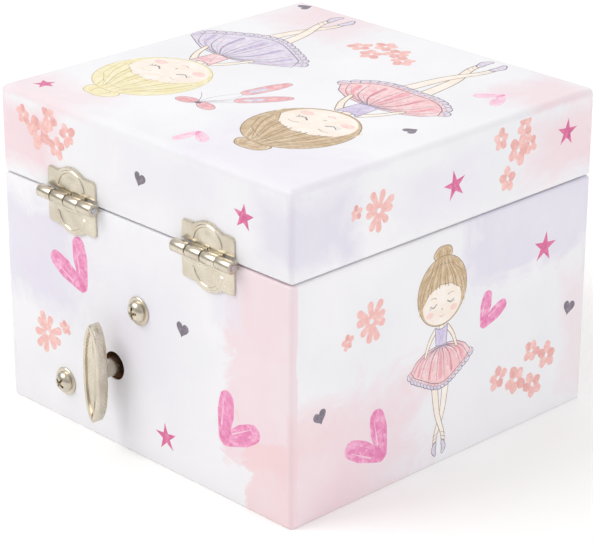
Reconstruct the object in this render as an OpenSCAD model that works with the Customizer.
// Ballerina jewellery box with a wind-up musical movement.
// The origin is the centre of the underside. +Z is up, -Y is the side that opens, +Y the hinge side.

/* [Box] */
// Outside width of the box, left to right
box_w = 100; // [90:1:125]
// Outside depth of the box, front to back
box_d = 100; // [80:1:125]
// Height of the body, without the lid
body_h = 59; // [58:0.5:80]
// Height of the lid
lid_h = 21.8; // [21:0.2:40]
// Gap between the body's rim and the lid's rim
seam_gap = 0.5; // [0.3:0.1:1]
// Thickness of the four walls of the body and of the lid
board_t = 4.5; // [3:0.25:6]
// Thickness of the lid's top board
top_board_t = 4; // [3.5:0.25:6]
// Thickness of the floor board
floor_t = 3; // [2:0.25:3.5]
// Thickness of the printed paper
paper_t = 0.3; // [0.2:0.05:0.4]
// How far the body's paper is turned in under the floor
turn_in = 6; // [3:0.5:12]
// Radius of the upright corners
corner_r = 1.2; // [1:0.1:2.5]
// Radius of the lid's top edges
lid_edge_r = 1.8; // [1.5:0.1:3.5]

/* [Inside] */
// Thickness of the flocked lining card
lining_t = 0.7; // [0.4:0.1:1.2]
// How far the lining ends below the rim
lining_drop = 1.2; // [0.8:0.1:3]
// Depth of the movement bay behind the partition
bay_d = 25; // [24.5:0.5:30]
// Height of the stage board's underside above the underside of the box
stage_z = 42.5; // [42:0.5:44]
// Thickness of the partition and of the stage board
partition_t = 1.8; // [1.5:0.1:3]
// Width of the mirror
mirror_w = 66; // [40:1:76]
// Depth of the mirror
mirror_d = 60; // [40:1:64]
// Thickness of the mirror glass
mirror_t = 1.6; // [1:0.1:2]
// How far the mirror pad laps over the mirror's edge
mirror_lap = 2; // [1:0.5:4]

/* [Hinges] */
// Distance between the middles of the two hinges
hinge_spacing = 47.4; // [36:0.2:60]
// Width of a hinge leaf
hinge_w = 17.2; // [14:0.2:20]
// Length of the hinge barrel
barrel_len = 19.4; // [16:0.2:22]
// Outside radius of the hinge barrel
barrel_r = 1.6; // [1.3:0.1:2]
// Radius of the hinge pin
hinge_pin_r = 0.7; // [0.5:0.05:0.9]
// Thickness of the hinge sheet
leaf_t = 0.6; // [0.5:0.05:0.7]
// Reach of the lower leaf's shoulders below the hinge line
lower_leaf_h = 7.6; // [5:0.2:10]
// Reach of the upper leaf's shoulders above the hinge line
upper_leaf_h = 6.3; // [5:0.2:10]
// Height of the scallop beyond the shoulders
scallop_h = 1.5; // [1:0.1:2.5]
// Width of the scallop
scallop_w = 9.6; // [8:0.2:12]
// Length of the prongs that hold a leaf in the board
prong_len = 3; // [2:0.25:3.5]

/* [Key] */
// Distance of the key's axis from the middle of the box
key_x = 10.4; // [6:0.2:12]
// Height of the key's axis
key_z = 20.6; // [20:0.1:21.5]
// Diameter of the hole in the rear wall for the key
key_hole_d = 7.1; // [6:0.1:8]
// Length of the key's grip
key_len = 25.4; // [20:0.2:30]
// Width of the key's grip
key_w = 5.7; // [5.2:0.1:6.5]
// Depth of the key's grip, along its axis
key_d = 3.2; // [2.6:0.1:4]
// Gap between the rear wall and the key's grip
key_gap = 4.2; // [3:0.1:6]
// Diameter of the key's stem
key_stem_d = 4.4; // [4:0.1:4.5]

/* [Movement] */
// Tooth module of every gear
gear_m = 0.5; // [0.5:0.01:0.52]
// Thickness of the movement's base plate
base_t = 2; // [1.5:0.25:2.5]
// Radius of the musical cylinder
cylinder_r = 6.2; // [5.5:0.1:6.3]
// Length of the musical cylinder
cylinder_len = 14; // [12:0.5:14]
// How far the pins stand out of the cylinder
pin_h = 0.6; // [0.4:0.1:0.7]
// Outside radius of the spring barrel
spring_barrel_r = 11.6; // [10:0.1:11.8]
// Depth of the spring barrel
spring_barrel_d = 9; // [7:0.25:9.5]
// Radius of the two mounting screws' shanks
screw_r = 1.5; // [1.25:0.05:1.6]
// Radius of the mounting screws' heads
screw_head_r = 2.8; // [2.5:0.1:3]
// Outside radius of the screws' washers
washer_r = 3.5; // [3.2:0.1:4]
// Radius of the governor's fan
fan_r = 4.2; // [3.5:0.1:4.2]

/* [Figurine] */
// Height of the figurine above its base disc
figurine_h = 26; // [20:0.5:27]
// Radius of the figurine's base disc
figurine_base_r = 4.5; // [3.5:0.1:6]
// Radius of the tutu
tutu_r = 8.5; // [6:0.1:9]

/* [Clearances] */
// Radial clearance of a running shaft
running = 0.06; // [0.04:0.01:0.08]
// Gap between parts that move past each other
moving_gap = 0.3; // [0.3:0.05:0.4]
// Travel of the stop rod
stop_travel = 3; // [2:0.1:3]

/* [Hidden] */
$fn = 48;
eps = 0.01;
cut = 1;                                  // how far a cutting solid runs past what it cuts

// Box levels and faces
rim_z = body_h;
lid_z = body_h + seam_gap;
top_z = lid_z + lid_h;
wall_in = paper_t + board_t;              // from an outside face to the bare inside face of a wall
in_x = box_w / 2 - wall_in;               // bare inside faces, measured from the middle
in_y = box_d / 2 - wall_in;
floor_z = paper_t + floor_t;              // top of the floor board
ceiling_z = top_z - paper_t - top_board_t; // underside of the lid's top board
lining_top = rim_z - lining_drop;
bay_y = in_y - bay_d;                     // front of the bay, the partition's rear face
partition_y = bay_y - partition_t;
stage_top = stage_z + partition_t;        // top of the stage board
stage_face = stage_top + lining_t;        // top of the stage's lining
mirror_pad_t = mirror_t + lining_t;

// Hinge line
hinge_y = box_d / 2 + barrel_r + 0.2;
hinge_z = rim_z + seam_gap / 2;
knuckle_gap = moving_gap;
middle_gap = 0.15;                        // the seam between the lid leaf's two knuckles
knuckle_len = (barrel_len - 2 * knuckle_gap - middle_gap) / 4;
plate_gap = barrel_r;                     // a leaf's plate stays this far from the hinge line
prong_w = 2.2;
prong_t = leaf_t;

// Gear train. The drive wheel turns about Y, the cylinder and governor about X, the spindle and fly about Z.
// The numbers of teeth set the ratios of the joints, so they are fixed.
crown_teeth = 54;
pinion_teeth = 10;
spindle_teeth = 12;
great_teeth = 28;
governor_teeth = 8;
worm_wheel_teeth = 20;
gear_pitch = PI * gear_m;
crown_r = gear_m * crown_teeth / 2;
pinion_r = gear_m * pinion_teeth / 2;
spindle_r = gear_m * spindle_teeth / 2;
great_r = gear_m * great_teeth / 2;
governor_r = gear_m * governor_teeth / 2;
worm_wheel_r = gear_m * worm_wheel_teeth / 2;
tooth_share = 0.36;                       // tooth thickness at the pitch line, as a share of the pitch
addendum = gear_m;
dedendum = 1.25 * gear_m;
crown_addendum = 0.9 * gear_m;
crown_dedendum = 1.3 * gear_m;
crown_face = 1.8;                         // radial width of the drive wheel's teeth
pinion_face = 1.6;

base_y = in_y - base_t;                   // front face of the base plate
cylinder_y = base_y - 7.7;                // axis of the cylinder
cylinder_z = key_z;
wheel_t = 1.5;
wheel_rear_y = cylinder_y - pinion_r - crown_dedendum;
wheel_front_y = wheel_rear_y - wheel_t;
spindle_x = key_x;
spindle_y = wheel_front_y - crown_dedendum - spindle_r;
spindle_mesh_z = key_z + crown_r;
pinion_x = key_x - crown_r;               // middle of the cylinder's pinion

post_t = 2;                               // thickness of a bearing post
arbor_r = 0.8;                            // cylinder arbor
post_right_x = pinion_x - pinion_face / 2 - 0.7 - post_t;
cylinder_x1 = post_right_x - 0.6;         // right end of the cylinder
cylinder_x0 = cylinder_x1 - cylinder_len; // left end
great_t = 1.3;
great_x = cylinder_x0 - 0.5 - great_t;    // left face of the great gear
governor_z = cylinder_z - great_r - governor_r;
governor_arbor_r = 0.6;
worm_wheel_t = 1.5;
worm_wheel_x = great_x - 0.9 - worm_wheel_t;
post_left_x = worm_wheel_x - 0.2 - post_t;
worm_r = 1.5;                             // pitch radius of the worm
worm_tip_r = worm_r + 0.4;
worm_root_r = worm_r - 0.6;
fly_x = worm_wheel_x + worm_wheel_t / 2;
fly_y = cylinder_y - worm_wheel_r - worm_r;
worm_turns = 4;
fly_arbor_r = 0.5;
bracket_t = 1;
bracket_x = fly_x - fan_r - 0.45 - bracket_t; // left face of the bracket's upright plate
bracket_z0 = floor_z + 0.9;
bracket_z1 = stage_z - 2.5;               // top of the bracket's upper arm
fan_top_z = bracket_z1 - bracket_t - 1.2;
fan_h = 8;
base_x0 = bracket_x - 0.5;
base_x1 = key_x + 22.1;
base_z0 = floor_z + 0.9;
base_z1 = stage_z - 0.7;

// The two screws that hold the movement on the rear wall, measured from the key's axis
screw_at = [[-9.5, 17.1], [18.3, -10.2]];
screw_boss_r = 3;
screw_boss_h = 2.6;

arbor_main_r = 1.6;                       // winding arbor
hub_r = 2.4;                              // drive wheel's hub
hub_len = 3.4;
clip_y = wheel_front_y - hub_len - 0.3;   // rear face of the arbor's clip
clip_t = 0.5;
clip_r = 3;
clip_mouth = 1.4;
clip_groove = 0.4;                        // depth of the groove that holds the clip
arbor_tail = 0.6;                         // how far the arbor ends beyond the clip
arbor_play = 0.4;                         // how much wider the spring barrel's hole is than the arbor
barrel_front_y = base_y - spring_barrel_d;
barrel_wall = 0.6;

stop_x = fly_x + 2.75;
stop_y = fly_y - 2.5;
stop_rod_r = 0.8;
stop_collar_r = 1.7;
stop_bush_r = 2.5;
stop_bush_wall = 0.6;
pad_h = 1;
spring_len = 1.2;
stop_top_z = ceiling_z - mirror_pad_t - moving_gap;

figurine_z = stage_face + 0.6;            // underside of the figurine's base disc
figurine_base_h = 1.2;
foot_z = figurine_z + figurine_base_h;
spindle_shaft_r = 0.8;

// ---- Shapes that repeat ----

module rounded_rect(w, d, r) {
    square([w - 2 * r, d], center = true);
    square([w, d - 2 * r], center = true);
    for (sx = [-1, 1], sy = [-1, 1])
        translate([sx * (w / 2 - r), sy * (d / 2 - r)]) circle(r);
}

// Upright block with round corners, shrunk by inset on every side, from z0 to z1
module upright_block(inset, z0, z1) {
    translate([0, 0, z0])
        linear_extrude(z1 - z0) rounded_rect(box_w - 2 * inset, box_d - 2 * inset, corner_r - inset);
}

// Side view of the lid with round top corners, from z0 to the top less inset
module lid_profile(w, inset, z0) {
    r = lid_edge_r - inset;
    z1 = top_z - inset;
    translate([-w / 2 + inset, z0]) square([w - 2 * inset, z1 - r - z0]);
    translate([-w / 2 + inset + r, z0]) square([w - 2 * inset - 2 * r, z1 - z0]);
    for (s = [-1, 1]) translate([s * (w / 2 - inset - r), z1 - r]) circle(r);
}

module lid_block(inset, z0) {
    intersection() {
        upright_block(inset, z0, top_z);
        translate([0, box_d / 2 + cut, 0]) rotate([90, 0, 0])
            linear_extrude(box_d + 2 * cut) lid_profile(box_w, inset, z0);
        translate([-box_w / 2 - cut, 0, 0]) rotate([90, 0, 90])
            linear_extrude(box_w + 2 * cut) lid_profile(box_d, inset, z0);
    }
}

module block(x0, x1, y0, y1, z0, z1) {
    translate([x0, y0, z0]) cube([x1 - x0, y1 - y0, z1 - z0]);
}

// Cylinders along X, Y and Z that start at a point
module rod_x(x0, x1, y, z, r) { translate([x0, y, z]) rotate([0, 90, 0]) cylinder(h = x1 - x0, r = r); }
module rod_y(y0, y1, x, z, r) { translate([x, y0, z]) rotate([-90, 0, 0]) cylinder(h = y1 - y0, r = r); }
module rod_z(z0, z1, x, y, r) { translate([x, y, z0]) cylinder(h = z1 - z0, r = r); }

// One tooth of a spur gear as points, symmetric about its own angle
function polar(r, a) = [r * cos(a), r * sin(a)];
function half_angle(thickness, r) = thickness / 2 / r * 180 / PI;
function spur_points(teeth, share) = let (
    r = gear_m * teeth / 2,
    corners = [
        [r - dedendum, 1.35 * share], [r, share], [r + addendum, 0.5 * share]
    ]
) [
    for (i = [0 : teeth - 1])
        for (k = [0 : 5])
            let (
                c = k < 3 ? corners[k] : corners[5 - k],
                side = k < 3 ? -1 : 1
            ) polar(c[0], i * 360 / teeth + side * half_angle(c[1] * gear_pitch, c[0]))
];

module spur_gear(teeth, width, bore_r, share = tooth_share) {
    linear_extrude(width) difference() {
        polygon(spur_points(teeth, share));
        circle(bore_r);
    }
}

// A ring of teeth that stand up in +Z from z = 0
module crown_ring() {
    h = crown_dedendum + crown_addendum;
    root = 1.3 * tooth_share * gear_pitch / 2;
    tip = 0.5 * tooth_share * gear_pitch / 2;
    for (i = [0 : crown_teeth - 1])
        rotate([0, 0, i * 360 / crown_teeth])
            translate([crown_r - crown_face / 2, 0, 0])
                rotate([90, 0, 90])
                    linear_extrude(crown_face)
                        polygon([[-root, -eps], [root, -eps], [tip, h], [-tip, h]]);
}

// Faces of a closed skin over rings of points, each ring with the same number of sides
function skin_faces(rings, sides) = concat(
    [[for (j = [sides - 1 : -1 : 0]) j]],
    [for (i = [0 : rings - 2]) for (j = [0 : sides - 1])
        let (k = (j + 1) % sides)
            [i * sides + j, i * sides + k, (i + 1) * sides + k, (i + 1) * sides + j]],
    [[for (j = [0 : sides - 1]) (rings - 1) * sides + j]]
);

// A coil of round wire about Z that starts at z = 0
module coil(coil_r, wire_r, pitch, turns, sides = 6, steps = 12) {
    count = turns * steps;
    points = [for (i = [0 : count]) for (j = [0 : sides - 1])
        let (
            a = i * 360 / steps,
            b = j * 360 / sides,
            r = coil_r + wire_r * cos(b)
        ) [r * cos(a), r * sin(a), wire_r + i * pitch / steps + wire_r * sin(b)]
    ];
    polyhedron(points = points, faces = skin_faces(count + 1, sides), convexity = 8);
}

// A straight limb with round ends
module limb(a, b, ra, rb) {
    hull() {
        translate(a) sphere(ra, $fn = 18);
        translate(b) sphere(rb, $fn = 18);
    }
}

// ---- Body ----

module body_floor() {
    color("burlywood") block(-in_x, in_x, -in_y, in_y, paper_t, floor_z);
}

module wall_front_or_rear(side) {
    intersection() {
        upright_block(paper_t, paper_t, rim_z - paper_t);
        block(-box_w, box_w, side < 0 ? -box_d : in_y, side < 0 ? -in_y : box_d, -cut, rim_z + cut);
    }
}

module wall_left_or_right(side) {
    x0 = side < 0 ? -box_w / 2 + paper_t : in_x;
    block(x0, x0 + board_t, -in_y, in_y, paper_t, rim_z - paper_t);
}

// The key's hole and the screws' holes through the rear wall and its paper
module rear_holes(screw_hole_r) {
    rod_y(in_y - cut, box_d / 2 + cut, key_x, key_z, key_hole_d / 2);
    for (s = screw_at) rod_y(in_y - cut, box_d / 2 + cut, key_x + s[0], key_z + s[1], screw_hole_r);
}

module body_front_wall() { color("burlywood") wall_front_or_rear(-1); }
module body_rear_wall() {
    color("burlywood") difference() {
        wall_front_or_rear(1);
        rear_holes(screw_r + 0.2);
    }
}
module body_left_wall() { color("burlywood") wall_left_or_right(-1); }
module body_right_wall() { color("burlywood") wall_left_or_right(1); }

module body_wrap() {
    color("lavenderblush") difference() {
        upright_block(0, 0, rim_z);
        upright_block(paper_t, paper_t, rim_z - paper_t);
        block(-in_x, in_x, -in_y, in_y, rim_z - paper_t - cut, rim_z + cut);
        block(-box_w / 2 + paper_t + turn_in, box_w / 2 - paper_t - turn_in,
              -box_d / 2 + paper_t + turn_in, box_d / 2 - paper_t - turn_in, -cut, paper_t + cut);
        rear_holes(screw_r + 0.2);
    }
}

module base_paper() {
    color("white")
        block(-box_w / 2 + paper_t + turn_in, box_w / 2 - paper_t - turn_in,
              -box_d / 2 + paper_t + turn_in, box_d / 2 - paper_t - turn_in, 0, paper_t);
}

// ---- Inside of the body ----

module movement_partition() {
    color("burlywood") block(-in_x, in_x, partition_y, bay_y, floor_z, stage_z);
}

module stage_board() {
    color("burlywood") difference() {
        block(-in_x, in_x, partition_y, in_y, stage_z, stage_top);
        rod_z(stage_z - cut, stage_top + cut, spindle_x, spindle_y, spindle_shaft_r + 1);
        rod_z(stage_z - cut, stage_top + cut, stop_x, stop_y, stop_bush_r);
    }
}

module compartment_lining() {
    color("pink") difference() {
        block(-in_x, in_x, -in_y, partition_y, floor_z, lining_top);
        block(-in_x + lining_t, in_x - lining_t, -in_y + lining_t, partition_y - lining_t,
              floor_z + lining_t, lining_top + cut);
        block(-in_x + lining_t, in_x - lining_t, partition_y - lining_t - cut, partition_y + cut,
              stage_top, lining_top + cut);
    }
}

module stage_lining() {
    color("pink") difference() {
        block(-in_x, in_x, partition_y, in_y, stage_top, lining_top);
        block(-in_x + lining_t, in_x - lining_t, partition_y - cut, in_y - lining_t,
              stage_face, lining_top + cut);
        rod_z(stage_top - cut, stage_face + cut, spindle_x, spindle_y, spindle_shaft_r + 1);
        rod_z(stage_top - cut, stage_face + cut, stop_x, stop_y, stop_bush_r);
    }
}

// ---- Lid ----

module lid_top_board() {
    color("burlywood") intersection() {
        lid_block(paper_t, lid_z + paper_t);
        block(-box_w, box_w, -box_d, box_d, ceiling_z, top_z + cut);
    }
}

module lid_wall_front_or_rear(side) {
    intersection() {
        upright_block(paper_t, lid_z + paper_t, ceiling_z);
        block(-box_w, box_w, side < 0 ? -box_d : in_y, side < 0 ? -in_y : box_d, 0, top_z);
    }
}

module lid_wall_left_or_right(side) {
    x0 = side < 0 ? -box_w / 2 + paper_t : in_x;
    block(x0, x0 + board_t, -in_y, in_y, lid_z + paper_t, ceiling_z);
}

module lid_front_wall() { color("burlywood") lid_wall_front_or_rear(-1); }
module lid_rear_wall() { color("burlywood") lid_wall_front_or_rear(1); }
module lid_left_wall() { color("burlywood") lid_wall_left_or_right(-1); }
module lid_right_wall() { color("burlywood") lid_wall_left_or_right(1); }

module lid_wrap() {
    color("lavenderblush") difference() {
        lid_block(0, lid_z);
        lid_block(paper_t, lid_z + paper_t);
        block(-in_x, in_x, -in_y, in_y, lid_z - cut, lid_z + paper_t + cut);
    }
}

module lid_lining() {
    color("pink") difference() {
        block(-in_x, in_x, -in_y, in_y, lid_z + lining_drop, ceiling_z);
        block(-in_x + lining_t, in_x - lining_t, -in_y + lining_t, in_y - lining_t, lid_z, ceiling_z + cut);
    }
}

module mirror_pad() {
    x = in_x - lining_t;
    y = in_y - lining_t;
    color("pink") difference() {
        block(-x, x, -y, y, ceiling_z - mirror_pad_t, ceiling_z);
        block(-mirror_w / 2, mirror_w / 2, -mirror_d / 2, mirror_d / 2,
              ceiling_z - mirror_t, ceiling_z + cut);
        block(-mirror_w / 2 + mirror_lap, mirror_w / 2 - mirror_lap,
              -mirror_d / 2 + mirror_lap, mirror_d / 2 - mirror_lap,
              ceiling_z - mirror_pad_t - cut, ceiling_z);
    }
}

module mirror_glass() {
    color("lightblue")
        block(-mirror_w / 2, mirror_w / 2, -mirror_d / 2, mirror_d / 2, ceiling_z - mirror_t, ceiling_z);
}

// ---- Hinges ----

// A leaf's outline, with the hinge line on the X axis and the scallop towards +Y
module leaf_outline(shoulder_h) {
    corner = 1;
    half = hinge_w / 2;
    translate([-half, plate_gap]) square([hinge_w, shoulder_h - corner - plate_gap]);
    translate([-half + corner, plate_gap]) square([hinge_w - 2 * corner, shoulder_h - plate_gap]);
    for (s = [-1, 1]) translate([s * (half - corner), shoulder_h - corner]) circle(corner);
    // the scallop is the part of a large circle that stands above the shoulders
    arc_r = (pow(scallop_w / 2, 2) + pow(scallop_h, 2)) / (2 * scallop_h);
    intersection() {
        translate([0, shoulder_h + scallop_h - arc_r]) circle(arc_r);
        translate([-scallop_w / 2, plate_gap]) square([scallop_w, shoulder_h + scallop_h]);
    }
}

// Left end of each knuckle, from the barrel's own left end
function knuckle_start(i) =
    i * knuckle_len + (i > 0 ? knuckle_gap : 0) + (i > 1 ? middle_gap : 0) + (i > 2 ? knuckle_gap : 0);

module knuckle(i) {
    x0 = -barrel_len / 2 + knuckle_start(i);
    rod_x(x0, x0 + knuckle_len, 0, 0, barrel_r);
}

// The sheet that joins a knuckle to its leaf's plate
module knuckle_web(i, up) {
    x0 = max(-barrel_len / 2 + knuckle_start(i), -hinge_w / 2);
    x1 = min(-barrel_len / 2 + knuckle_start(i) + knuckle_len, hinge_w / 2);
    y0 = box_d / 2 - hinge_y;
    block(x0, x1, y0, y0 + leaf_t, up ? 0 : -plate_gap - eps, up ? plate_gap + eps : 0);
}

module prongs(shoulder_h, up) {
    y1 = box_d / 2 - hinge_y + eps;
    z = (up ? 1 : -1) * (plate_gap + shoulder_h) / 2;
    for (s = [-1, 1])
        block(s * hinge_w * 0.3 - prong_w / 2, s * hinge_w * 0.3 + prong_w / 2, y1 - prong_len, y1,
              z - prong_t / 2, z + prong_t / 2);
}

module hinge_leaf(shoulder_h, up, knuckles) {
    color("gainsboro") difference() {
        union() {
            translate([0, box_d / 2 - hinge_y + leaf_t, 0]) mirror([0, 0, up ? 0 : 1])
                rotate([90, 0, 0]) linear_extrude(leaf_t) leaf_outline(shoulder_h);
            prongs(shoulder_h, up);
            for (i = knuckles) {
                knuckle(i);
                knuckle_web(i, up);
            }
        }
        rod_x(-barrel_len, barrel_len, 0, 0, hinge_pin_r + running);
    }
}

module at_hinge(side) { translate([side * hinge_spacing / 2, hinge_y, hinge_z]) children(); }

module hinge_body_leaf_left() { at_hinge(-1) hinge_leaf(lower_leaf_h, false, [0, 3]); }
module hinge_body_leaf_right() { at_hinge(1) hinge_leaf(lower_leaf_h, false, [0, 3]); }
module hinge_lid_leaf_left() { at_hinge(-1) hinge_leaf(upper_leaf_h, true, [1, 2]); }
module hinge_lid_leaf_right() { at_hinge(1) hinge_leaf(upper_leaf_h, true, [1, 2]); }

module hinge_pin() {
    color("silver") rod_x(-barrel_len / 2 - 0.1, barrel_len / 2 + 0.1, 0, 0, hinge_pin_r);
}
module hinge_pin_left() { at_hinge(-1) hinge_pin(); }
module hinge_pin_right() { at_hinge(1) hinge_pin(); }

// ---- Movement: fixed parts ----

module bearing_post(x0, z_half, y0) {
    block(x0, x0 + post_t, y0, base_y + eps, cylinder_z - z_half, cylinder_z + z_half);
}

comb_z0 = cylinder_z + cylinder_r + pin_h + 0.4;  // tips of the comb's teeth
comb_z1 = base_z1;
comb_t = 1;
comb_heel = 5.4;                          // depth of the comb's solid heel
comb_tracks = 18;                         // teeth of the comb, each with its own ring of pins
comb_slot = 0.22;                         // width of the slot between two teeth
comb_slope = 2.2;                         // how much longer the lowest note's tooth is
track_pitch = cylinder_len / comb_tracks;
small_head_r = 1.7;                       // heads of the movement's small screws
small_head_h = 1;
comb_screw_r = 1;
comb_screw_x = [cylinder_x0 + 2.8, cylinder_x1 - 2.8];
comb_screw_z = comb_z1 - comb_heel / 2;
governor_post_x = cylinder_x0 + 0.6;

module movement_base() {
    color("darkgray") difference() {
        union() {
            block(base_x0, base_x1, base_y, in_y, base_z0, base_z1);
            for (s = screw_at)
                rod_y(base_y - screw_boss_h, base_y + eps, key_x + s[0], key_z + s[1], screw_boss_r);
            bearing_post(post_right_x, 2.2, cylinder_y - 2);
            bearing_post(post_left_x, 2.2, cylinder_y - 2);
            // the small post under the cylinder holds the governor arbor's inner end
            block(governor_post_x, governor_post_x + bracket_t, cylinder_y - 1.6, base_y + eps,
                  governor_z - 1.6, governor_z + 1.6);
            // the raised seat that carries the comb
            block(cylinder_x0, cylinder_x1, cylinder_y + comb_t / 2, base_y + eps,
                  comb_z1 - comb_heel, comb_z1);
        }
        rod_y(base_y - cut, in_y + cut, key_x, key_z, arbor_main_r + running);
        for (s = screw_at)
            rod_y(base_y - screw_boss_h - cut, in_y + cut, key_x + s[0], key_z + s[1], screw_r + 0.02);
        rod_x(post_left_x - cut, post_right_x + post_t + cut, cylinder_y, cylinder_z, arbor_r + running);
        rod_x(governor_post_x - cut, governor_post_x + bracket_t + cut, cylinder_y, governor_z,
              governor_arbor_r + running);
        for (x = comb_screw_x)
            rod_y(cylinder_y, base_y + 0.6, x, comb_screw_z, comb_screw_r + 0.02);
        for (z = bracket_screw_z)
            rod_y(base_y - cut, base_y + 1.5, bracket_foot_x, z, comb_screw_r + 0.02);
        rod_y(base_y - cut, base_y + 1.5, spindle_x, spindle_foot_z, comb_screw_r + 0.02);
    }
}

// A dome-headed screw about Y with a cross recess; its head stands on y = 0 and looks towards +Y
module cross_screw(head_r, head_h, shank_r, shank_len) {
    difference() {
        union() {
            rotate([-90, 0, 0]) intersection() {
                cylinder(h = head_h, r = head_r);
                translate([0, 0, head_h - head_r * 1.35]) sphere(head_r * 1.35);
            }
            rod_y(-shank_len, eps, 0, 0, shank_r);
        }
        for (a = [0, 90]) rotate([0, a, 0])
            block(-head_r * 0.52, head_r * 0.52, head_h * 0.35, head_h + cut, -head_r * 0.13, head_r * 0.13);
    }
}

washer_t = 0.5;
screw_head_h = 1.9;

module movement_screws() {
    shank_len = wall_in + washer_t + base_t + screw_boss_h - 0.4;
    color("silver") for (s = screw_at)
        translate([key_x + s[0], box_d / 2 + washer_t, key_z + s[1]]) rotate([0, 25 + 30 * sign(s[0]), 0])
            cross_screw(screw_head_r, screw_head_h, screw_r, shank_len);
}

module screw_washers() {
    color("silver") for (s = screw_at) difference() {
        rod_y(box_d / 2, box_d / 2 + washer_t, key_x + s[0], key_z + s[1], washer_r);
        rod_y(box_d / 2 - cut, box_d / 2 + washer_t + cut, key_x + s[0], key_z + s[1], screw_r + 0.1);
    }
}

module spring_barrel() {
    color("gainsboro") difference() {
        rod_y(barrel_front_y, base_y, key_x, key_z, spring_barrel_r);
        rod_y(barrel_front_y - cut, base_y - barrel_wall, key_x, key_z, spring_barrel_r - barrel_wall);
        rod_y(base_y - barrel_wall - cut, base_y + cut, key_x, key_z, arbor_main_r + arbor_play);
    }
}

module barrel_cover() {
    color("gainsboro") difference() {
        rod_y(barrel_front_y, barrel_front_y + barrel_wall, key_x, key_z, spring_barrel_r - barrel_wall);
        rod_y(barrel_front_y - cut, barrel_front_y + barrel_wall + cut, key_x, key_z,
              arbor_main_r + arbor_play);
    }
}

// The mainspring is a flat strip wound in a spiral
spring_strip_t = 0.35;
spring_turns = 7;
spring_steps = 28;
function spiral(offset) = [
    for (i = [0 : spring_turns * spring_steps])
        let (
            a = i * 360 / spring_steps,
            r0 = arbor_main_r + 1.4,
            r1 = spring_barrel_r - barrel_wall - 0.4,
            r = r0 + (r1 - r0) * i / (spring_turns * spring_steps) + offset
        ) polar(r, a)
];
function reversed(list) = [for (i = [len(list) - 1 : -1 : 0]) list[i]];

module mainspring() {
    width = spring_barrel_d - 2 * barrel_wall - 0.8;
    color("dimgray") translate([key_x, barrel_front_y + barrel_wall + 0.4, key_z]) rotate([-90, 0, 0])
        linear_extrude(width)
            polygon(concat(spiral(-spring_strip_t / 2), reversed(spiral(spring_strip_t / 2))));
}

module comb() {
    color("lightsteelblue") difference() {
        block(cylinder_x0, cylinder_x1, cylinder_y - comb_t / 2, cylinder_y + comb_t / 2, comb_z0, comb_z1);
        for (i = [1 : comb_tracks - 1])
            let (x = cylinder_x0 + i * track_pitch)
                block(x - comb_slot / 2, x + comb_slot / 2, cylinder_y - comb_t, cylinder_y + comb_t,
                      comb_z0 - cut, comb_z1 - comb_heel - comb_slope * (1 - i / comb_tracks));
        for (x = comb_screw_x)
            rod_y(cylinder_y - comb_t, cylinder_y + comb_t, x, comb_screw_z, comb_screw_r + 0.1);
    }
}

module comb_screws() {
    color("silver") for (x = comb_screw_x)
        translate([x, cylinder_y - comb_t / 2, comb_screw_z]) mirror([0, 1, 0])
            cross_screw(small_head_r, small_head_h, comb_screw_r, 4.5);
}

// ---- Movement: winding ----

// The grip is a slender lens seen from behind, with a hollow in its outer face and in both sides
key_y0 = box_d / 2 + key_gap;
key_y1 = key_y0 + key_d;
stem_in = 3.6;                            // how far the key's stem reaches into the wall
arbor_in_grip = 1;                        // how far the arbor reaches into the key's grip

// A lens along Y whose two flat arcs run smoothly into round tips
module key_outline(len, width, tip_r) {
    reach = len / 2 - tip_r;
    arc_r = (width * width / 4 + reach * reach - tip_r * tip_r) / (width - 2 * tip_r);
    tangent = reach * arc_r / (arc_r - tip_r);
    intersection() {
        intersection_for (s = [-1, 1]) translate([s * (arc_r - width / 2), 0]) circle(arc_r);
        square([width, 2 * tangent], center = true);
    }
    for (s = [-1, 1]) translate([0, s * reach]) circle(tip_r);
}

module from_behind(y) { translate([key_x, y, key_z]) rotate([90, 0, 0]) children(); }

module winding_key() {
    tip_r = 1.2;
    rim = 0.9;
    hollow = 0.8;
    side_hollow = 0.4;
    side_len = key_len / 3;               // length of each side hollow
    side_mid = key_len / 4 + side_hollow; // middle of each side hollow, from the key's axis
    color("gainsboro") difference() {
        union() {
            from_behind(key_y1) linear_extrude(key_d) key_outline(key_len, key_w, tip_r);
            rod_y(box_d / 2 - stem_in, key_y0 + eps, key_x, key_z, key_stem_d / 2);
        }
        from_behind(key_y1 + cut) linear_extrude(hollow + cut)
            key_outline(key_len - 2.4 * rim, key_w - 2 * rim, tip_r / 2);
        for (s = [-1, 1]) from_behind(key_y1 - rim) linear_extrude(key_d - 2 * rim) difference() {
            translate([-key_w, s * side_mid - side_len / 2]) square([2 * key_w, side_len]);
            key_outline(key_len - 2 * side_hollow, key_w - 2 * side_hollow, tip_r - side_hollow);
        }
        rod_y(box_d / 2 - stem_in - cut, key_y0 + arbor_in_grip, key_x, key_z, arbor_main_r);
    }
}

module winding_arbor() {
    color("silver") difference() {
        rod_y(clip_y - clip_t - arbor_tail, key_y0 + arbor_in_grip, key_x, key_z, arbor_main_r);
        difference() {
            rod_y(clip_y - clip_t, clip_y, key_x, key_z, arbor_main_r + cut);
            rod_y(clip_y - clip_t - cut, clip_y + cut, key_x, key_z, arbor_main_r - clip_groove);
        }
    }
}

module arbor_clip() {
    color("dimgray") difference() {
        rod_y(clip_y - clip_t, clip_y, key_x, key_z, clip_r);
        rod_y(clip_y - clip_t - cut, clip_y + cut, key_x, key_z, arbor_main_r - clip_groove);
        block(key_x - clip_mouth / 2, key_x + clip_mouth / 2, clip_y - clip_t - cut, clip_y + cut,
              key_z - clip_r - cut, key_z);
    }
}

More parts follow.
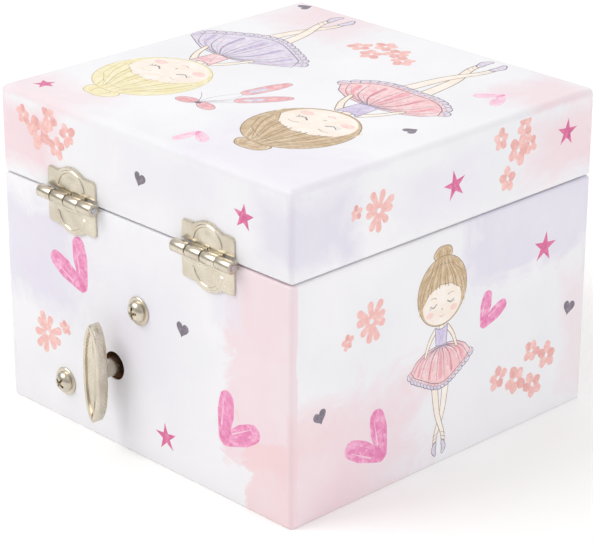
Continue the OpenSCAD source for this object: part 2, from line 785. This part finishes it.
module drive_wheel() {
    wheel_holes = 5;
    wheel_hole_r = 3;
    wheel_hole_at = 7.6;                  // middles of the holes, from the axis
    color("goldenrod") translate([key_x, 0, key_z]) {
        difference() {
            union() {
                translate([0, wheel_rear_y, 0]) rotate([-90, 0, 0]) crown_ring();
                translate([0, wheel_front_y, 0]) mirror([0, 1, 0]) rotate([-90, 0, 0]) crown_ring();
                rod_y(wheel_front_y, wheel_rear_y, 0, 0, crown_r + crown_face / 2);
                rod_y(wheel_front_y - hub_len, wheel_front_y + eps, 0, 0, hub_r);
            }
            rod_y(wheel_front_y - hub_len - cut, wheel_rear_y + cut, 0, 0, arbor_main_r + running);
            for (i = [0 : wheel_holes - 1]) rotate([0, i * 360 / wheel_holes, 0])
                rod_y(wheel_front_y - cut, wheel_rear_y + cut, wheel_hole_at, 0, wheel_hole_r);
        }
    }
}

module clutch_spring() {
    wire_r = 0.25;
    pitch = 0.6;
    turns = 4;
    color("dimgray") translate([key_x, wheel_front_y - 0.15, key_z]) rotate([90, 0, 0])
        coil(hub_r + wire_r + 0.1, wire_r, pitch, turns);
}

// ---- Movement: cylinder ----

module music_cylinder() {
    wall = 0.8;
    color("gold") difference() {
        rod_x(cylinder_x0, cylinder_x1, cylinder_y, cylinder_z, cylinder_r);
        rod_x(cylinder_x0 + wall, cylinder_x1 - wall, cylinder_y, cylinder_z, cylinder_r - wall);
        rod_x(cylinder_x0 - cut, cylinder_x1 + cut, cylinder_y, cylinder_z, arbor_r);
    }
}

// Every track has a few pins; the angles step on so that the notes are spread round the cylinder
module cylinder_pins() {
    notes = 4;
    pin_r = 0.17;
    pin_root = 0.3;
    track_step = 137.5;
    color("gold") for (track = [0 : comb_tracks - 1], note = [0 : notes - 1])
        let (note_step = 79 + 3 * (track % 5))
            translate([cylinder_x0 + (track + 0.5) * track_pitch, cylinder_y, cylinder_z])
                rotate([(track * track_step + note * note_step) % 360, 0, 0])
                    rod_z(cylinder_r - pin_root, cylinder_r + pin_h, 0, 0, pin_r);
}

module cylinder_arbor() {
    color("silver") {
        rod_x(post_left_x - 0.3, pinion_x + pinion_face / 2 + 0.3, cylinder_y, cylinder_z, arbor_r);
        translate([pinion_x - pinion_face / 2, cylinder_y, cylinder_z]) rotate([0, 90, 0])
            spur_gear(pinion_teeth, pinion_face, arbor_r - 0.1);
    }
}

module great_gear() {
    color("goldenrod") translate([great_x, cylinder_y, cylinder_z]) rotate([0, 90, 0])
        spur_gear(great_teeth, great_t, arbor_r);
}

// ---- Movement: governor ----

bracket_foot_x = bracket_x + bracket_t + 2;
bracket_screw_z = [bracket_z0 + 3.5, bracket_z1 - 4];
governor_y = cylinder_y;

module governor_bracket() {
    color("silver") difference() {
        union() {
            block(bracket_x, bracket_x + bracket_t, fly_y - 2, base_y, bracket_z0, bracket_z1);
            for (z = [bracket_z0, bracket_z1 - bracket_t])
                block(bracket_x, fly_x + 1.4, fly_y - 1.5, fly_y + 1.5, z, z + bracket_t);
            for (z = bracket_screw_z)
                block(bracket_x, bracket_foot_x + 2, base_y - bracket_t, base_y, z - 2, z + 2);
        }
        rod_z(bracket_z0 - cut, bracket_z1 + cut, fly_x, fly_y, fly_arbor_r + running);
        rod_x(bracket_x - cut, bracket_x + bracket_t + cut, governor_y, governor_z,
              governor_arbor_r + running);
        for (z = bracket_screw_z)
            rod_y(base_y - bracket_t - cut, base_y + cut, bracket_foot_x, z, comb_screw_r + 0.1);
    }
}

spindle_foot_z = stage_z - 3.2;

module bracket_screws() {
    color("silver") {
        for (z = bracket_screw_z)
            translate([bracket_foot_x, base_y - bracket_t, z]) mirror([0, 1, 0])
                cross_screw(small_head_r, small_head_h, comb_screw_r, bracket_t + 1.3);
        translate([spindle_x, base_y - bracket_t, spindle_foot_z]) mirror([0, 1, 0])
            cross_screw(small_head_r, small_head_h, comb_screw_r, bracket_t + 1.3);
    }
}

module governor_arbor() {
    x0 = bracket_x + 0.1;
    x1 = governor_post_x + bracket_t + 0.2;
    color("silver") {
        rod_x(x0, x1, governor_y, governor_z, governor_arbor_r);
        translate([great_x - 0.1, governor_y, governor_z]) rotate([0, 90, 0])
            rotate([0, 0, 180 / governor_teeth])
                spur_gear(governor_teeth, great_t + 0.2, governor_arbor_r - 0.1);
    }
}

module worm_wheel() {
    color("goldenrod") translate([worm_wheel_x, governor_y, governor_z]) rotate([0, 90, 0])
        spur_gear(worm_wheel_teeth, worm_wheel_t, governor_arbor_r, 0.3);
}

// Cross-section of a one-start thread: a crest, two flanks and the root
function worm_radius(a) = let (
    crest = 25,
    foot = 80,
    b = a > 180 ? 360 - a : a
) b <= crest ? worm_tip_r : b >= foot ? worm_root_r
    : worm_tip_r - (worm_tip_r - worm_root_r) * (b - crest) / (foot - crest);

module fly_worm() {
    length = worm_turns * gear_pitch;
    steps = 14;
    sides = 10;
    rings = worm_turns * steps + 1;
    angles = [0, 25, 52, 80, 125, 180, 235, 280, 308, 335];
    points = [for (i = [0 : rings - 1]) for (j = [0 : sides - 1])
        let (
            a = angles[sides - 1 - j],
            p = polar(worm_radius(a), a + i * 360 / steps + 270)
        ) [p[0], p[1], i * gear_pitch / steps]
    ];
    color("silver") {
        rod_z(bracket_z0 + 0.1, governor_z - length / 2, fly_x, fly_y, fly_arbor_r);
        rod_z(governor_z + length / 2, bracket_z1 - 0.1, fly_x, fly_y, fly_arbor_r);
        translate([fly_x, fly_y, governor_z - length / 2])
            polyhedron(points = points, faces = skin_faces(rings, sides), convexity = 10);
    }
}

module fly_fan() {
    blade_t = 0.5;
    disc_t = 0.8;
    hub_wall = 0.8;
    blade_reach = fan_r - 0.3;
    color("white") difference() {
        union() {
            rod_z(fan_top_z - disc_t, fan_top_z, fly_x, fly_y, fan_r);
            rod_z(fan_top_z - fan_h, fan_top_z, fly_x, fly_y, fly_arbor_r + hub_wall);
            block(fly_x - blade_reach, fly_x + blade_reach, fly_y - blade_t / 2, fly_y + blade_t / 2,
                  fan_top_z - fan_h, fan_top_z - disc_t + eps);
        }
        rod_z(fan_top_z - fan_h - cut, fan_top_z + cut, fly_x, fly_y, fly_arbor_r);
    }
}

// ---- Figurine drive ----

spindle_bracket_w = 7;
bracket_arm_z = key_z + crown_r + crown_face / 2 + 1;
bracket_front_y = spindle_y - spindle_r - addendum - 0.5;
bracket_low_z = spindle_mesh_z - pinion_face / 2 - 1.6;

module spindle_bracket() {
    x0 = spindle_x - spindle_bracket_w / 2;
    x1 = spindle_x + spindle_bracket_w / 2;
    color("silver") difference() {
        union() {
            block(x0, x1, base_y - bracket_t, base_y, bracket_arm_z, base_z1);
            block(x0, x1, bracket_front_y - bracket_t, base_y, bracket_arm_z, bracket_arm_z + bracket_t);
            block(x0, x1, bracket_front_y - bracket_t, bracket_front_y, bracket_low_z - bracket_t,
                  bracket_arm_z + bracket_t);
            block(x0, x1, bracket_front_y - bracket_t, wheel_front_y - crown_dedendum - crown_addendum - 0.3,
                  bracket_low_z - bracket_t, bracket_low_z);
        }
        rod_z(bracket_low_z - bracket_t - cut, bracket_arm_z + bracket_t + cut, spindle_x, spindle_y,
              spindle_shaft_r + running);
        rod_y(base_y - bracket_t - cut, base_y + cut, spindle_x, spindle_foot_z, comb_screw_r + 0.1);
    }
}

module spindle() {
    color("silver") {
        rod_z(bracket_low_z - bracket_t - 0.3, figurine_z + 0.8, spindle_x, spindle_y, spindle_shaft_r);
        translate([spindle_x, spindle_y, spindle_mesh_z - pinion_face / 2])
            spur_gear(spindle_teeth, pinion_face, spindle_shaft_r - 0.1);
    }
}

// ---- Stop for the movement, pressed by the lid ----

stop_ledge_z = stage_z;
stop_collar_z = stop_ledge_z + stop_bush_wall + spring_len;
stop_collar_h = 0.6;
stop_bush_top = stop_collar_z + stop_collar_h + stop_travel + moving_gap + stop_bush_wall;

module stop_bush() {
    color("silver") difference() {
        union() {
            rod_z(stop_ledge_z, stop_bush_top, stop_x, stop_y, stop_bush_r);
            rod_z(stage_face, stage_face + 0.6, stop_x, stop_y, stop_bush_r + 1);
        }
        rod_z(stop_ledge_z + stop_bush_wall, stop_bush_top - stop_bush_wall, stop_x, stop_y,
              stop_bush_r - stop_bush_wall);
        rod_z(stop_ledge_z - cut, stop_bush_top + cut, stop_x, stop_y, stop_rod_r + running);
    }
}

module stop_spring() {
    wire_r = 0.12;
    turns = 3;
    pitch = 0.32;
    color("dimgray") translate([stop_x, stop_y, stop_ledge_z + stop_bush_wall])
        coil(stop_rod_r + 0.45, wire_r, pitch, turns);
}

module stop_rod() {
    pad_top = fan_top_z + moving_gap + pad_h;
    color("silver") {
        rod_z(pad_top - 0.5, stop_top_z - stop_rod_r, stop_x, stop_y, stop_rod_r);
        translate([stop_x, stop_y, stop_top_z - stop_rod_r]) sphere(stop_rod_r);
        rod_z(stop_collar_z, stop_collar_z + stop_collar_h, stop_x, stop_y, stop_collar_r);
    }
}

module stop_pad() {
    pad_z = fan_top_z + moving_gap;
    color("black") difference() {
        rod_z(pad_z, pad_z + pad_h, stop_x, stop_y, 1.3);
        rod_z(pad_z + pad_h - 0.5, pad_z + pad_h + cut, stop_x, stop_y, stop_rod_r);
    }
}

// ---- Figurine ----

// Heights up the figure as shares of figurine_h
function up(share) = foot_z + figurine_h * share;
module at_spindle() { translate([spindle_x, spindle_y, 0]) children(); }

module figurine_base() {
    color("white") at_spindle() difference() {
        rod_z(figurine_z, figurine_z + figurine_base_h, 0, 0, figurine_base_r);
        rod_z(figurine_z - cut, figurine_z + 0.8, 0, 0, spindle_shaft_r);
    }
}

hip = up(0.47);
waist = up(0.56);
shoulder = up(0.70);
head_r = figurine_h * 0.078;

module figurine_body() {
    s = figurine_h / 26;
    color("bisque") at_spindle() {
        // standing leg on its toe, and the other leg drawn up to the knee
        limb([0, 0, foot_z + 0.38 * s], [0.3 * s, 0, hip], 0.4 * s, 1.15 * s);
        limb([-0.9 * s, 0, hip], [-3.6 * s, -0.8 * s, up(0.32)], 1.1 * s, 0.75 * s);
        limb([-3.6 * s, -0.8 * s, up(0.32)], [-0.6 * s, -0.9 * s, up(0.22)], 0.7 * s, 0.42 * s);
        // trunk
        rotate_extrude() polygon([
            [0, hip - 1.2 * s], [1.5 * s, hip - 0.6 * s], [1.75 * s, hip + 0.4 * s], [1.15 * s, waist],
            [1.55 * s, up(0.64)], [1.75 * s, shoulder - 0.8 * s], [1.1 * s, shoulder + 0.2 * s],
            [0.55 * s, shoulder + 0.6 * s], [0.5 * s, up(0.77)], [0, up(0.77)]
        ]);
        // head and bun
        translate([0, 0, up(0.83)]) sphere(head_r);
        translate([0, 1.1 * s, up(0.90)]) sphere(head_r * 0.55);
        // arms raised in a ring
        for (side = [-1, 1]) {
            limb([side * 1.6 * s, 0, shoulder - 0.5 * s], [side * 3.6 * s, -0.3 * s, up(0.82)],
                 0.55 * s, 0.45 * s);
            limb([side * 3.6 * s, -0.3 * s, up(0.82)], [side * 0.9 * s, -0.6 * s, up(0.985)],
                 0.45 * s, 0.32 * s);
        }
    }
}

module figurine_tutu() {
    s = figurine_h / 26;
    color("pink") at_spindle() rotate_extrude() polygon([
        [2.0 * s, hip + 0.9 * s], [1.5 * s, waist - 0.4 * s], [1.9 * s, waist - 0.2 * s],
        [tutu_r, hip - 0.6 * s], [tutu_r, hip - 1.2 * s], [2.4 * s, hip - 0.3 * s]
    ]);
}

// ---- Nodes ----

body_floor();
body_front_wall();
body_rear_wall();
body_left_wall();
body_right_wall();
body_wrap();
base_paper();
movement_partition();
stage_board();
compartment_lining();
stage_lining();
lid_top_board();
lid_front_wall();
lid_rear_wall();
lid_left_wall();
lid_right_wall();
lid_wrap();
lid_lining();
mirror_pad();
mirror_glass();  // mirror
hinge_body_leaf_left();
hinge_body_leaf_right();
hinge_lid_leaf_left();
hinge_lid_leaf_right();
hinge_pin_left();
hinge_pin_right();
movement_base();
movement_screws();
screw_washers();
spring_barrel();
barrel_cover();
mainspring();
winding_key();
winding_arbor();
arbor_clip();
drive_wheel();
clutch_spring();
music_cylinder();
cylinder_pins();
cylinder_arbor();
great_gear();
comb();
comb_screws();
governor_bracket();
bracket_screws();
governor_arbor();
worm_wheel();
fly_worm();
fly_fan();
spindle_bracket();
spindle();
stop_bush();
stop_spring();
stop_rod();
stop_pad();
figurine_base();
figurine_body();
figurine_tutu();
